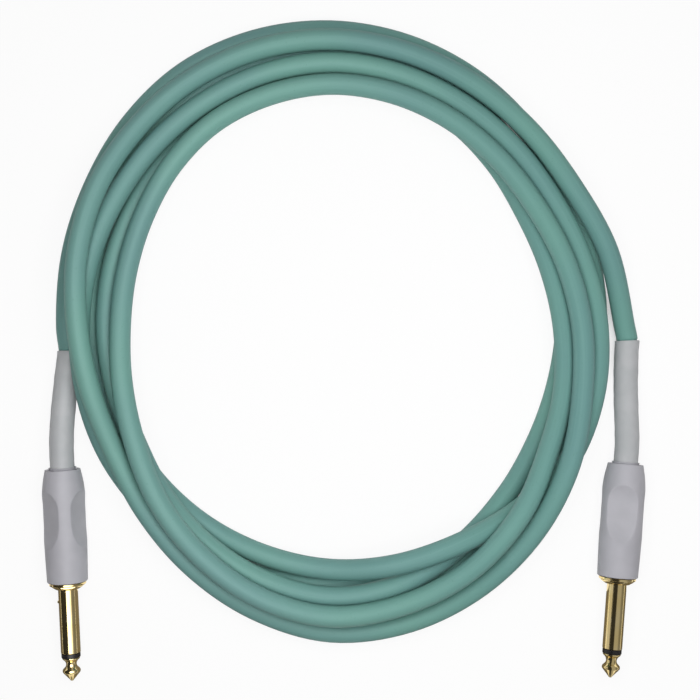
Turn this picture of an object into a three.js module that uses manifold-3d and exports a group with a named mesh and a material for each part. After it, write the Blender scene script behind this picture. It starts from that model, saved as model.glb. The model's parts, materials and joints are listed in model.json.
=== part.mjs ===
// A 3 m instrument cable with a straight quarter-inch plug on each end, lying coiled on a table.
// Each plug: a tip contact riveted through a sleeve contact, solder terminals behind it, and a
// barrel that screws onto the sleeve's thread over them. A heat-shrink boot covers the cable's exit.
// Millimetres, +Z up, the table at z = 0. The two plugs point along -Y, side by side.
import * as THREE from 'three';
import { mergeVertices } from 'three/addons/utils/BufferGeometryUtils.js';
import Module from 'manifold-3d';

const wasm = await Module();
wasm.setup();

// ---------------------------------------------------------------- driving dimensions
// Distances called "at" are measured along a plug's axis, forwards from the barrel's rear rim.

// Clearances
const SEAT_GAP = 0.15;          // between pieces pressed, riveted or soldered together
const SCREW_GAP = 0.15;         // between the two cylinders that carry the thread
const FACE_GAP = 0.3;           // between end faces of the cable's stretches
const STRAND_GAP = 0.6;         // kept between strands while the coil settles

// Cable
const CABLE_D = 6.9;
const SHRINK_SQUEEZE = 0.2;     // how far the boot and the claw press into the jacket, a side
const TAIL_D = CABLE_D - 2 * SHRINK_SQUEEZE;
const JACKET_END_AT = 13.5;     // where the jacket is stripped, inside the barrel

// Boot: heat-shrink tube over the cable's exit
const BOOT_WALL = 0.5;
const BOOT_D = CABLE_D + 2 * BOOT_WALL;
const BOOT_INSIDE = 3.5;        // its length inside the barrel
const BOOT_STRAIGHT = 5.5;      // its straight length behind the barrel, which the barrel backs over

// Barrel
const BARREL_LENGTH = 37.3;
const BARREL_RIM_R = 5.7;
const BARREL_SHOULDER_AT = 3.8;
const BARREL_SHOULDER_R = 6.5;
const BARREL_BELLY_AT = 8.5;
const BARREL_BELLY_R = 6.98;
const BARREL_WAIST_AT = 28;
const BARREL_WAIST_R = 6.9;
const BARREL_FRONT_R = 6.65;
const BARREL_EDGE = 0.6;        // rounding of the outer edges
const MOUTH_CHAMFER = 0.3;      // lead-in of the two bores
const GRIP_COUNT = 3;           // finger scallops around the barrel
const GRIP_FROM = 7;
const GRIP_DEEP_FROM = 13;
const GRIP_DEEP_TO = 18;
const GRIP_TO = 26.4;
const GRIP_FLOOR_R = 5.1;       // from the axis to the scallop's flat floor
const GRIP_FADE_R = 7.0;        // where a scallop runs out

// Thread that carries the barrel, as plain cylinders
const THREAD_R = 5.3;
const THREAD_AT = 32.5;         // the threaded boss's rear face
const THREAD_RUNOUT = 0.3;      // between that face and the step in the barrel's bore

// Sleeve contact and its collar
const SLEEVE_D = 6.35;          // a quarter of an inch
const SLEEVE_BORE_R = 2.2;
const FLANGE_GAP = 0.2;         // the barrel's front face to the flange
const FLANGE_R = 6;
const FLANGE_THICK = 0.9;
const FLANGE_CHAMFER = 0.2;
const NUT_R = 5.3;              // the nose in front of the flange, with six spanner flats
const NUT_ACROSS = 9.6;
const NUT_STRAIGHT = 0.35;
const NUT_LENGTH = 1.2;
const NUT_FRONT_R = 4.1;
const INSERT_LENGTH = 30.5;     // from the nose's front to the plug's point
const SPIGOT_R = 2.9;           // behind the thread, for the ground claw's eye
const SPIGOT_LENGTH = 0.9;
const NIB_R = 0.55;             // the small locating nib on the sleeve
const NIB_AHEAD = 4.3;

// Tip contact
const RING_THICK = 1.5;         // the insulating ring between sleeve and tip
const RING_R = 3.05;
const RING_SPIGOT = 2.0;
const TIP_LENGTH = 7.9;         // from the ring to the point
const TIP_SHOULDER_R = 2.95;
const TIP_NECK_R = 1.68;
const TIP_NECK_BACK = 5.6;      // from the point back to the neck's middle
const TIP_NECK_LENGTH = 1.2;
const TIP_HEAD_R = 2.9;
const TIP_HEAD_BACK = 3.15;     // from the point back to the widest part of the head
const TIP_POINT_R = 0.6;        // where the cone's blunt end begins
const ROD_R = 1.2;
const RIVET_R = 1.8;
const RIVET_THICK = 0.6;

// Terminals
const WASHER_R = 3.0;
const WASHER_THICK = 0.45;
const SHEET = 0.4;              // brass sheet of the tag and the claw
const TAG_EYE_R = 2.5;
const TAG_WIDTH = 2.0;
const TAG_LIFT = 2.2;           // from the axis to the lug's underside
const TAG_LENGTH = 8.5;
const CLAW_LENGTH = 4.7;
const CLAW_PAST_JACKET = 0.8;
const CLAW_OPENING = 70;        // degrees left open between the claw's fingers
const ARM_WIDTH = 2.4;
const ARM_DROP = 3.2;           // from the axis to the arm's near face
const EYE_R = 3.75;
const LINER_WALL = 0.25;
const LINER_FROM = 8.7;
const LINER_TO = 31.4;

// Wires inside the barrel
const CORE_R = 0.9;
const CONDUCTOR_R = 0.45;
const CONDUCTOR_LENGTH = 3.2;
const PIGTAIL_R = 0.6;
const PIGTAIL_LENGTH = 6.6;
const SOLDER_R = 1.05;
const SOLDER_LENGTH = 2.8;

// The coil lies round this centre. Its strands' distances from it, and the places of the plugs
// and boots beside it, are taken from this radius.
const COIL_CENTRE = [-4.2, 60.1];
const COIL_RADIUS = 84;

// Where each plug lies: its rim's centre (out from the coil's radius, along Y, and up), its heading
// from -Y towards +X, its nose's rise, how far it has rolled from lying with a scallop upwards, and
// how far the nib is turned from that scallop (degrees).
const LEFT = { side: -1, rim: [3.6, 13.9, 7.7], heading: 2.3, nose: -1.5, roll: 47, nib: 33 };
const RIGHT = { side: 1, rim: [12.4, 15.6, 6.76], heading: -4.6, nose: 2, roll: 12, nib: 168 };

// The boots' routes over the table after their straight length, each ending at the boot's mouth,
// as the rims' places are given.
const LEFT_BOOT_ROUTE = [[3.9, 24.8, 7.4], [3.7, 30.6, 6.7], [3.3, 37.2, 5.7],
  [2.8, 43.7, 4.7], [2.3, 48.5, 4.3], [2.1, 51.9, 4.1]];
const RIGHT_BOOT_ROUTE = [[12.9, 26, 6.2], [12.8, 32.6, 5.6], [12.8, 39.8, 4.9],
  [13, 46.8, 4.4], [13.2, 52, 4.2], [13.4, 55.3, 4.15]];

// The coil, looking down: how far each strand lies outside the coil's radius and the layer it lies
// in, one pair an hour round the clock face. A line is a turn, from one o'clock to twelve. The first
// line starts at the left boot at nine o'clock, and the last ends at the right boot at three.
const HOURS = 12;
const FIRST_HOUR = 9;
const LAYER_RISE = 7;
const PILE = [
  [3, 0.1], [6.5, 0], [12.5, 0], [13, 0],
  [9, 0], [5.5, 0], [3.5, 0], [3.5, 0], [3.5, 0], [1, 0],
  [1.5, 0.2], [0, 0.6], [-2, 0.8], [-2.5, 1], [-1, 1], [1, 1],
  [-0.5, 1], [-1.5, 1], [2.5, 1], [4.5, 1], [-2, 0.8], [-4.5, 0.6],
  [-6, 0.3], [-7, 0.1], [-5.5, 0.1], [-1.5, 0.2], [4, 0.2], [5.5, 0.2],
  [3, 0], [-3.5, 0], [-7, 0.2], [-6, 0.4], [0.5, 0.7], [4, 1.2],
  [-2.5, 1.3], [-10, 0.8], [-10, 0.1], [-8, 0.1], [-5.5, 0.4], [-3.5, 0.4],
  [-5, 0.6], [-10, 0.8], [-8, 0.8], [-2, 1], [5.5, 1.4], [9, 1.8],
  [0, 2], [-11.5, 1.7], [-16, 1.2], [-13.5, 0.7], [-7.5, 0.7], [-5, 1.3],
  [-6.5, 1.7], [-7.5, 1.8], [-4, 1.7], [2.5, 1.4], [13, 0.9], [16, 0.8],
  [6, 1], [-3.5, 1.2], [-3.5, 1.4], [2.5, 1.5], [7.5, 1.2], [8.5, 0.9],
  [6.5, 0.8], [5.5, 0.5], [12.5, 0.1],
];
const STEPS_PER_HOUR = 2;
const STEPS_PER_TURN = HOURS * STEPS_PER_HOUR;
const COIL_FROM = 2;            // steps of the route that belong to each lead
const COIL_SIDES = 6;
const LEAD_SIDES = 10;
const LEAD_STEP = 2 * CABLE_D;

// The settling of the pile: rounds, and what each round does to every strand
const SETTLE_ROUNDS = 600;       // in the last sixth of them, strands only push each other apart
const SINK = 0.1;               // mm down
const HOLD = 0.08;              // share of its sideways drift that a strand gives back
const STIFFNESS = 0.12;         // share of its bend that a strand gives back
const SIDE_SLIP = 0.25;         // how much of a push goes sideways
const PUSH_POINTS = 3;          // points a step where strands are tested against each other

// ---------------------------------------------------------------- colours
const FINISH = {
  jacket: { color: 0x7fb3a6, roughness: 0.55, metalness: 0 },
  boot: { color: 0xb9babd, roughness: 0.6, metalness: 0 },
  paint: { color: 0xb6b5bd, roughness: 0.55, metalness: 0 },
  gold: { color: 0xd8b45c, roughness: 0.15, metalness: 1 },
  black: { color: 0x161616, roughness: 0.45, metalness: 0 },
  nylon: { color: 0xe9e6da, roughness: 0.5, metalness: 0 },
  fibre: { color: 0x8c4b32, roughness: 0.7, metalness: 0 },
  liner: { color: 0x2b2b2e, roughness: 0.5, metalness: 0 },
  core: { color: 0xf1efe8, roughness: 0.5, metalness: 0 },
  copper: { color: 0xc77b4a, roughness: 0.3, metalness: 1 },
  solder: { color: 0xc4c6c8, roughness: 0.25, metalness: 1 },
};

// ---------------------------------------------------------------- solids
const radians = THREE.MathUtils.degToRad;

// Positions and indices alone, with shared vertices, no empty faces, and faces outwards.
function closed(geometry) {
  const bare = geometry.clone();
  bare.deleteAttribute('normal');
  bare.deleteAttribute('uv');
  const merged = mergeVertices(bare, 1e-5);
  const at = merged.getAttribute('position');
  const corners = [0, 1, 2].map(() => new THREE.Vector3());
  const faces = [];
  let volume = 0;
  for (let i = 0; i < merged.index.count; i += 3) {
    const face = [0, 1, 2].map((k) => merged.index.getX(i + k));
    if (new Set(face).size < 3) continue;
    face.forEach((v, k) => corners[k].fromBufferAttribute(at, v));
    volume += corners[0].dot(corners[1].clone().cross(corners[2]));
    faces.push(face);
  }
  if (volume < 0) faces.forEach((face) => face.reverse());
  merged.setIndex(faces.flat());
  return merged;
}

function toManifold(geometry) {
  const solid = closed(geometry);
  return new wasm.Manifold(new wasm.Mesh({
    numProp: 3,
    vertProperties: new Float32Array(solid.getAttribute('position').array),
    triVerts: new Uint32Array(solid.index.array),
  }));
}

function fromManifold(manifold) {
  const mesh = manifold.getMesh();
  const geometry = new THREE.BufferGeometry();
  geometry.setAttribute('position', new THREE.BufferAttribute(mesh.vertProperties, 3));
  geometry.setIndex(Array.from(mesh.triVerts));
  return geometry;
}

const cut = (body, ...tools) => fromManifold(
  tools.reduce((left, tool) => left.subtract(toManifold(tool)), toManifold(body)));
const join = (body, ...more) => fromManifold(
  more.reduce((sum, piece) => sum.add(toManifold(piece)), toManifold(body)));
const common = (body, other) => fromManifold(toManifold(body).intersect(toManifold(other)));

// A solid of revolution about the plug's axis (+Y), from [radius, distance forwards] pairs.
function turned(profile, sides) {
  const points = profile.map(([radius, at]) => new THREE.Vector2(radius, at));
  return closed(new THREE.LatheGeometry(points, sides));
}

const tube = (inner, outer, from, to, sides) => turned(
  [[inner, from], [outer, from], [outer, to], [inner, to], [inner, from]], sides);

const box = (width, length, height, x, y, z) => closed(
  new THREE.BoxGeometry(width, length, height).translate(x, y, z));

// A stretch of a longer curve, between two distances along it.
class Stretch extends THREE.Curve {
  constructor(curve, from, to) {
    super();
    this.curve = curve;
    this.length = curve.getLength();
    this.from = from;
    this.to = to;
  }

  getPoint(t) {
    return this.curve.getPointAt((this.from + (this.to - this.from) * t) / this.length);
  }

  getTangent(t) {
    return this.curve.getTangentAt((this.from + (this.to - this.from) * t) / this.length);
  }
}

function circle(radius, sides) {
  const points = [];
  for (let i = 0; i < sides; i += 1) {
    const angle = (2 * Math.PI * i) / sides;
    points.push(new THREE.Vector2(radius * Math.cos(angle), radius * Math.sin(angle)));
  }
  return points;
}

// A round rod, or a tube with a bore, along a curve.
function swept(curve, radius, sides, steps, bore = 0) {
  const section = new THREE.Shape(circle(radius, sides));
  if (bore) section.holes.push(new THREE.Path(circle(bore, sides).reverse()));
  return closed(new THREE.ExtrudeGeometry(section, { steps, extrudePath: curve }));
}

const smooth = (points) => {
  const curve = new THREE.CatmullRomCurve3(points);
  curve.arcLengthDivisions = 400;
  return curve;
};

// ---------------------------------------------------------------- places along a plug's axis
const flangeFrom = BARREL_LENGTH + FLANGE_GAP;
const flangeTo = flangeFrom + FLANGE_THICK;
const nutTo = flangeTo + NUT_LENGTH;
const pointAt = nutTo + INSERT_LENGTH;
const ringTo = pointAt - TIP_LENGTH;
const ringFrom = ringTo - RING_THICK;
const spigotFrom = THREAD_AT - SPIGOT_LENGTH;
const washerTo = spigotFrom - SEAT_GAP;
const washerFrom = washerTo - WASHER_THICK;
const tagTo = washerFrom - SEAT_GAP;
const tagFrom = tagTo - SHEET;
const coreTo = tagTo - TAG_LENGTH - SEAT_GAP;
const rivetTo = tagFrom - SEAT_GAP;
const eyeTo = THREAD_AT - SEAT_GAP;
const clawInnerR = TAIL_D / 2 + SEAT_GAP;
const clawOuterR = clawInnerR + SHEET;
const clawTo = JACKET_END_AT + CLAW_PAST_JACKET;
const linerInnerR = clawOuterR + SEAT_GAP;
const linerOuterR = linerInnerR + LINER_WALL;
const barrelBoreR = linerOuterR + SEAT_GAP;
const mouthR = THREAD_R + SCREW_GAP;
const mouthFrom = THREAD_AT - THREAD_RUNOUT;

// ---------------------------------------------------------------- pieces of a plug
// Lathed tip: cone, head, neck and shoulder, with the rod that runs back through the sleeve and is
// riveted over the tip's tag.
function tipContact() {
  const back = (distance) => pointAt - distance;
  return turned([
    [0, rivetTo - RIVET_THICK],
    [RIVET_R * 0.7, rivetTo - RIVET_THICK],
    [RIVET_R, rivetTo - RIVET_THICK / 2],
    [RIVET_R, rivetTo],
    [ROD_R, rivetTo],
    [ROD_R, ringTo + SEAT_GAP],
    [TIP_SHOULDER_R, ringTo + SEAT_GAP],
    [TIP_SHOULDER_R - 0.15, ringTo + 0.5],
    [(TIP_SHOULDER_R + TIP_NECK_R) / 2, ringTo + 1],
    [TIP_NECK_R + 0.15, back(TIP_NECK_BACK + TIP_NECK_LENGTH / 2 + 0.2)],
    [TIP_NECK_R, back(TIP_NECK_BACK + TIP_NECK_LENGTH / 2 - 0.2)],
    [TIP_NECK_R, back(TIP_NECK_BACK - TIP_NECK_LENGTH / 2 + 0.2)],
    [TIP_NECK_R + 0.2, back(TIP_NECK_BACK - TIP_NECK_LENGTH / 2 - 0.2)],
    [TIP_HEAD_R - 0.5, back(TIP_HEAD_BACK + 0.9)],
    [TIP_HEAD_R - 0.1, back(TIP_HEAD_BACK + 0.35)],
    [TIP_HEAD_R, back(TIP_HEAD_BACK)],
    [TIP_HEAD_R - 0.15, back(TIP_HEAD_BACK - 0.4)],
    [TIP_POINT_R, back(TIP_POINT_R * 0.6)],
    [TIP_POINT_R * 0.6, back(TIP_POINT_R * 0.2)],
    [0, pointAt],
  ], 28);
}

// Black ring between tip and sleeve, with a spigot that centres it in the sleeve's bore.
const tipRing = () => turned([
  [ROD_R + SEAT_GAP, ringFrom - RING_SPIGOT],
  [SLEEVE_BORE_R - SEAT_GAP, ringFrom - RING_SPIGOT],
  [SLEEVE_BORE_R - SEAT_GAP, ringFrom + SEAT_GAP],
  [RING_R, ringFrom + SEAT_GAP],
  [RING_R, ringTo],
  [ROD_R + SEAT_GAP, ringTo],
  [ROD_R + SEAT_GAP, ringFrom - RING_SPIGOT],
], 28);

const rodInsulator = () => tube(ROD_R + SEAT_GAP, SLEEVE_BORE_R - SEAT_GAP,
  washerTo + SEAT_GAP, ringFrom - RING_SPIGOT - SEAT_GAP, 16);

// Sleeve contact: spigot, threaded boss, flange, nose with six spanner flats, and the long sleeve.
function sleeve(nibTurn) {
  const sleeveR = SLEEVE_D / 2;
  const body = turned([
    [SLEEVE_BORE_R, spigotFrom],
    [SPIGOT_R, spigotFrom],
    [SPIGOT_R, THREAD_AT],
    [THREAD_R, THREAD_AT],
    [THREAD_R, flangeFrom],
    [FLANGE_R, flangeFrom],
    [FLANGE_R, flangeTo - FLANGE_CHAMFER],
    [FLANGE_R - FLANGE_CHAMFER, flangeTo],
    [sleeveR, flangeTo],
    [sleeveR, ringFrom - FLANGE_CHAMFER],
    [sleeveR - FLANGE_CHAMFER, ringFrom],
    [SLEEVE_BORE_R, ringFrom],
    [SLEEVE_BORE_R, spigotFrom],
  ], 36);
  const nose = turned([
    [sleeveR - 0.3, flangeTo - 0.3],
    [NUT_R, flangeTo - 0.3],
    [NUT_R, flangeTo + NUT_STRAIGHT],
    [NUT_FRONT_R, nutTo],
    [sleeveR - 0.3, nutTo],
    [sleeveR - 0.3, flangeTo - 0.3],
  ], 36);
  const hexagon = new THREE.CylinderGeometry(
    NUT_ACROSS / Math.sqrt(3), NUT_ACROSS / Math.sqrt(3), 4 * NUT_LENGTH, 6)
    .translate(0, nutTo, 0);
  const nib = new THREE.SphereGeometry(NIB_R, 10, 8)
    .translate(0, nutTo + NIB_AHEAD, sleeveR - 0.15).rotateY(radians(nibTurn));
  return join(body, common(nose, hexagon), nib);
}

// Brass claw that grips the jacket and takes the shield: an open ring round the cable, an arm
// forwards, and an eye staked on the sleeve's spigot.
function groundClaw() {
  const ring = tube(clawInnerR, clawOuterR, clawTo - CLAW_LENGTH, clawTo, 24);
  const reach = 2 * clawOuterR;
  const half = reach * Math.tan(radians(CLAW_OPENING / 2));
  const wedge = new THREE.Shape([new THREE.Vector2(0, 0), new THREE.Vector2(half, reach),
    new THREE.Vector2(-half, reach)]);
  const opening = new THREE.ExtrudeGeometry(wedge, { depth: 2 * CLAW_LENGTH, bevelEnabled: false })
    .rotateX(Math.PI / 2).translate(0, clawTo + CLAW_LENGTH / 2, 0);
  const armTo = eyeTo;
  const heelLength = CLAW_PAST_JACKET + 0.3;
  const heelFrom = JACKET_END_AT + SEAT_GAP;
  const heel = box(ARM_WIDTH - 0.2, heelLength, clawOuterR - ARM_DROP - 0.1,
    0, heelFrom + heelLength / 2, -(clawOuterR - 0.1 + ARM_DROP) / 2);
  const arm = box(ARM_WIDTH, armTo - heelFrom, SHEET,
    0, (armTo + heelFrom) / 2, -(ARM_DROP + SHEET / 2));
  const eye = tube(SPIGOT_R + SEAT_GAP, EYE_R, armTo - SHEET, armTo, 24);
  return join(cut(ring, opening), heel, arm, eye);
}

const fibreWasher = () => tube(ROD_R + SEAT_GAP, WASHER_R, washerFrom, washerTo, 24);

// Brass tag under the rod's riveted end: an eye and a lug bent back over the axis.
function tipTag() {
  const eye = tube(ROD_R + SEAT_GAP, TAG_EYE_R, tagFrom, tagTo, 24);
  const riser = box(TAG_WIDTH, SHEET, TAG_LIFT + SHEET - ROD_R - 0.4,
    0, (tagFrom + tagTo) / 2, (TAG_LIFT + SHEET + ROD_R + 0.4) / 2);
  const lug = box(TAG_WIDTH, TAG_LENGTH, SHEET,
    0, tagTo - TAG_LENGTH / 2, TAG_LIFT + SHEET / 2);
  return join(eye, riser, lug);
}

const liner = () => tube(linerInnerR, linerOuterR, LINER_FROM, LINER_TO, 24);

// Barrel: a bellied shell, bored for the boot and liner, opened out for the thread, with scallops
// for the fingers. A scallop's floor is flat across and runs in and out along the barrel.
function barrel() {
  const shell = turned([
    [barrelBoreR + MOUTH_CHAMFER / 2, 0],
    [BARREL_RIM_R - BARREL_EDGE, 0],
    [BARREL_RIM_R - BARREL_EDGE * 0.3, BARREL_EDGE * 0.3],
    [BARREL_RIM_R, BARREL_EDGE],
    [BARREL_SHOULDER_R, BARREL_SHOULDER_AT],
    [(BARREL_SHOULDER_R + BARREL_BELLY_R) / 2 + 0.07, (BARREL_SHOULDER_AT + BARREL_BELLY_AT) / 2],
    [BARREL_BELLY_R, BARREL_BELLY_AT],
    [BARREL_WAIST_R, BARREL_WAIST_AT],
    [BARREL_FRONT_R, BARREL_LENGTH - BARREL_EDGE],
    [BARREL_FRONT_R - BARREL_EDGE * 0.3, BARREL_LENGTH - BARREL_EDGE * 0.3],
    [BARREL_FRONT_R - BARREL_EDGE, BARREL_LENGTH],
    [mouthR + MOUTH_CHAMFER, BARREL_LENGTH],
    [mouthR, BARREL_LENGTH - MOUTH_CHAMFER],
    [mouthR, mouthFrom],
    [barrelBoreR, mouthFrom],
    [barrelBoreR, MOUTH_CHAMFER],
    [barrelBoreR + MOUTH_CHAMFER / 2, 0],
  ], 36);
  const side = new THREE.Shape();
  const outside = 2 * BARREL_BELLY_R;
  side.moveTo(GRIP_FROM - 1, outside);
  side.lineTo(GRIP_FROM - 1, GRIP_FADE_R + 0.6);
  side.lineTo(GRIP_FROM, GRIP_FADE_R);
  side.quadraticCurveTo((GRIP_FROM + GRIP_DEEP_FROM) / 2, GRIP_FLOOR_R, GRIP_DEEP_FROM, GRIP_FLOOR_R);
  side.lineTo(GRIP_DEEP_TO, GRIP_FLOOR_R);
  side.quadraticCurveTo((GRIP_DEEP_TO + GRIP_TO) / 2, GRIP_FLOOR_R, GRIP_TO, GRIP_FADE_R);
  side.lineTo(GRIP_TO + 2, GRIP_FADE_R + 0.6);
  side.lineTo(GRIP_TO + 2, outside);
  const across = 2 * outside;
  const scallops = [];
  for (let i = 0; i < GRIP_COUNT; i += 1) {
    scallops.push(new THREE.ExtrudeGeometry(side, { depth: across, bevelEnabled: false, curveSegments: 6 })
      .translate(0, 0, -across / 2)
      .applyMatrix4(new THREE.Matrix4().makeBasis(
        new THREE.Vector3(0, 1, 0), new THREE.Vector3(0, 0, 1), new THREE.Vector3(1, 0, 0)))
      .rotateY((2 * Math.PI * i) / GRIP_COUNT));
  }
  return cut(shell, ...scallops);
}

// Wires: the insulated core to the tag, its bare end, and the shield twisted to the claw's arm.
const at = (y, z) => new THREE.Vector3(0, y, z);
const coreEndZ = TAG_LIFT - SEAT_GAP - CONDUCTOR_R;
const coreCurve = smooth([at(JACKET_END_AT + SEAT_GAP, 0), at(JACKET_END_AT + 3, 0.15),
  at(coreTo - 2.5, coreEndZ - 0.2), at(coreTo, coreEndZ)]);
const conductorCurve = new THREE.LineCurve3(at(coreTo + SEAT_GAP, coreEndZ),
  at(coreTo + SEAT_GAP + CONDUCTOR_LENGTH, coreEndZ));
const pigtailZ = -(ARM_DROP - SEAT_GAP - PIGTAIL_R);
const pigtailFrom = JACKET_END_AT + SEAT_GAP;
const pigtailCurve = smooth([at(pigtailFrom, pigtailZ + 0.6), at(pigtailFrom + 2.2, pigtailZ + 0.4),
  at(pigtailFrom + PIGTAIL_LENGTH - 2.5, pigtailZ), at(pigtailFrom + PIGTAIL_LENGTH, pigtailZ)]);

const core = () => swept(coreCurve, CORE_R, 10, 8);
const conductor = () => swept(conductorCurve, CONDUCTOR_R, 8, 1);
const pigtail = () => swept(pigtailCurve, PIGTAIL_R, 8, 6);

// A bead of solder round a wire's end, flowed against the sheet that it joins. A block of these sizes
// trims it flat there.
const TRIM = 3;
const TRIM_WIDTH = 6;
const TRIM_LENGTH = 20;

function solderBead(atY, atZ, wire, sheet) {
  const bead = new THREE.SphereGeometry(SOLDER_R, 12, 10)
    .scale(1, SOLDER_LENGTH / 2 / SOLDER_R, 1).translate(0, atY, atZ);
  return cut(bead, wire, sheet);
}

const tipSolder = () => solderBead(coreTo + CONDUCTOR_LENGTH, coreEndZ,
  swept(conductorCurve, CONDUCTOR_R + SEAT_GAP, 8, 1),
  box(TRIM_WIDTH, TAG_LENGTH, TRIM, 0, tagTo - TAG_LENGTH / 2, TAG_LIFT - SEAT_GAP + TRIM / 2));

const groundSolder = () => solderBead(pigtailFrom + PIGTAIL_LENGTH - 1, pigtailZ,
  swept(pigtailCurve, PIGTAIL_R + SEAT_GAP, 8, 6),
  box(TRIM_WIDTH, TRIM_LENGTH, TRIM,
    0, pigtailFrom + PIGTAIL_LENGTH, -(ARM_DROP - SEAT_GAP + TRIM / 2)));

// ---------------------------------------------------------------- the coil's route
const blend = (a, b, c, d, t) => 0.5 * (2 * b + (c - a) * t + (2 * a - 5 * b + 4 * c - d) * t * t
  + (3 * b - a - 3 * c + d) * t * t * t);

// The chosen stations, with the steps between them filled in: angle, radius and height of each.
function laidRoute() {
  const steps = [];
  const pick = (i) => PILE[Math.min(Math.max(i, 0), PILE.length - 1)];
  for (let i = 0; i <= (PILE.length - 1) * STEPS_PER_HOUR; i += 1) {
    const hour = Math.min(Math.floor(i / STEPS_PER_HOUR), PILE.length - 2);
    const t = i / STEPS_PER_HOUR - hour;
    const [before, from, to, after] = [-1, 0, 1, 2].map((k) => pick(hour + k));
    steps.push({
      angle: radians(((FIRST_HOUR + hour + t) * 360) / HOURS),
      radius: COIL_RADIUS + blend(before[0], from[0], to[0], after[0], t),
      height: CABLE_D / 2 + LAYER_RISE * Math.max(0, blend(before[1], from[1], to[1], after[1], t)),
    });
  }
  return steps;
}

// A place beside the coil, on a plug's side of it.
const beside = ({ side }) => ([out, y, z]) => new THREE.Vector3(
  COIL_CENTRE[0] + side * (COIL_RADIUS + out), y, z);

// Where the left boot, which lies in the pile's way, crosses each place round the clock.
function bootCrossings() {
  const crossings = new Map();
  smooth(LEFT_BOOT_ROUTE.map(beside(LEFT))).getPoints(80).forEach(({ x, y, z }) => {
    const [east, north] = [x - COIL_CENTRE[0], y - COIL_CENTRE[1]];
    const turns = Math.atan2(east, north) / (2 * Math.PI) - FIRST_HOUR / HOURS + 2;
    const place = Math.round(turns * STEPS_PER_TURN * PUSH_POINTS);
    crossings.set(place % (STEPS_PER_TURN * PUSH_POINTS), [Math.hypot(east, north), z]);
  });
  return crossings;
}

// Lets the pile settle. At each place round the clock the strands are a heap of circles: they sink
// to the table, push each other apart, keep off the boot, and stay near where they were laid.
function settle(steps) {
  const last = steps.length - 1;
  const goal = steps.map((step) => step.radius);
  const ends = [steps[0].height, steps[last].height];
  const apart = CABLE_D + STRAND_GAP;
  const offBoot = (CABLE_D + BOOT_D) / 2 + STRAND_GAP;
  const boots = bootCrossings();
  const heaps = new Map();
  for (let i = 0; i < last; i += 1) {
    for (let k = 0; k < PUSH_POINTS; k += 1) {
      const place = (i % STEPS_PER_TURN) * PUSH_POINTS + k;
      if (!heaps.has(place)) heaps.set(place, []);
      heaps.get(place).push([i, k / PUSH_POINTS]);
    }
  }
  const between = (i, t, key) => steps[i][key] * (1 - t) + steps[i + 1][key] * t;
  const shift = (i, t, side, up) => {
    const weight = (1 - t) ** 2 + t * t;
    [[i, 1 - t], [i + 1, t]].forEach(([n, share]) => {
      steps[n].radius += (side * SIDE_SLIP * share) / weight;
      steps[n].height += (up * share) / weight;
    });
  };
  for (let round = 0; round < SETTLE_ROUNDS; round += 1) {
    if (round < (SETTLE_ROUNDS * 5) / 6) {
      const old = steps.map((step, i) => [step.radius - goal[i], step.height]);
      for (let i = 1; i < last; i += 1) {
        const drift = (old[i - 1][0] + old[i + 1][0]) / 2 - old[i][0];
        const bend = (old[i - 1][1] + old[i + 1][1]) / 2 - old[i][1];
        steps[i].radius = goal[i] + (old[i][0] + STIFFNESS * drift) * (1 - HOLD);
        steps[i].height = old[i][1] + STIFFNESS * bend - SINK;
      }
    }
    heaps.forEach((heap, place) => heap.forEach(([i, t], n) => {
      heap.slice(n + 1).forEach(([j, u]) => {
        const side = between(j, u, 'radius') - between(i, t, 'radius');
        const up = between(j, u, 'height') - between(i, t, 'height');
        const distance = Math.hypot(side, up);
        if (distance >= apart) return;
        const push = (apart - distance) / 2 / Math.max(distance, 1e-6);
        shift(i, t, -side * push, -up * push);
        shift(j, u, side * push, up * push);
      });
      if (!boots.has(place)) return;
      const [bootRadius, bootHeight] = boots.get(place);
      const side = between(i, t, 'radius') - bootRadius;
      const up = between(i, t, 'height') - bootHeight;
      const distance = Math.hypot(side, up);
      if (distance >= offBoot) return;
      const push = (offBoot - distance) / Math.max(distance, 1e-6);
      shift(i, t, side * push, up * push);
    }));
    steps.forEach((step) => { step.height = Math.max(step.height, CABLE_D / 2); });
    [[0, 0], [last, 1]].forEach(([n, end]) => {
      steps[n].radius = goal[n];
      steps[n].height = ends[end];
    });
  }
  return steps.map(({ angle, radius, height }) => new THREE.Vector3(
    COIL_CENTRE[0] + radius * Math.sin(angle), COIL_CENTRE[1] + radius * Math.cos(angle), height));
}

const route = settle(laidRoute());
const coilTo = route.length - 1 - COIL_FROM;
const heading = (i) => route[i + 1].clone().sub(route[i - 1]).normalize();

// One unbroken tube of six sides, a ring at each step. Its ends run straight for a diameter.
function coilPoints() {
  const points = route.slice(COIL_FROM, coilTo + 1);
  const straight = (i, side) => route[i].clone().addScaledVector(heading(i), side * CABLE_D);
  points.splice(1, 0, straight(COIL_FROM, 1));
  points.splice(points.length - 1, 0, straight(coilTo, -1));
  return points;
}

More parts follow.
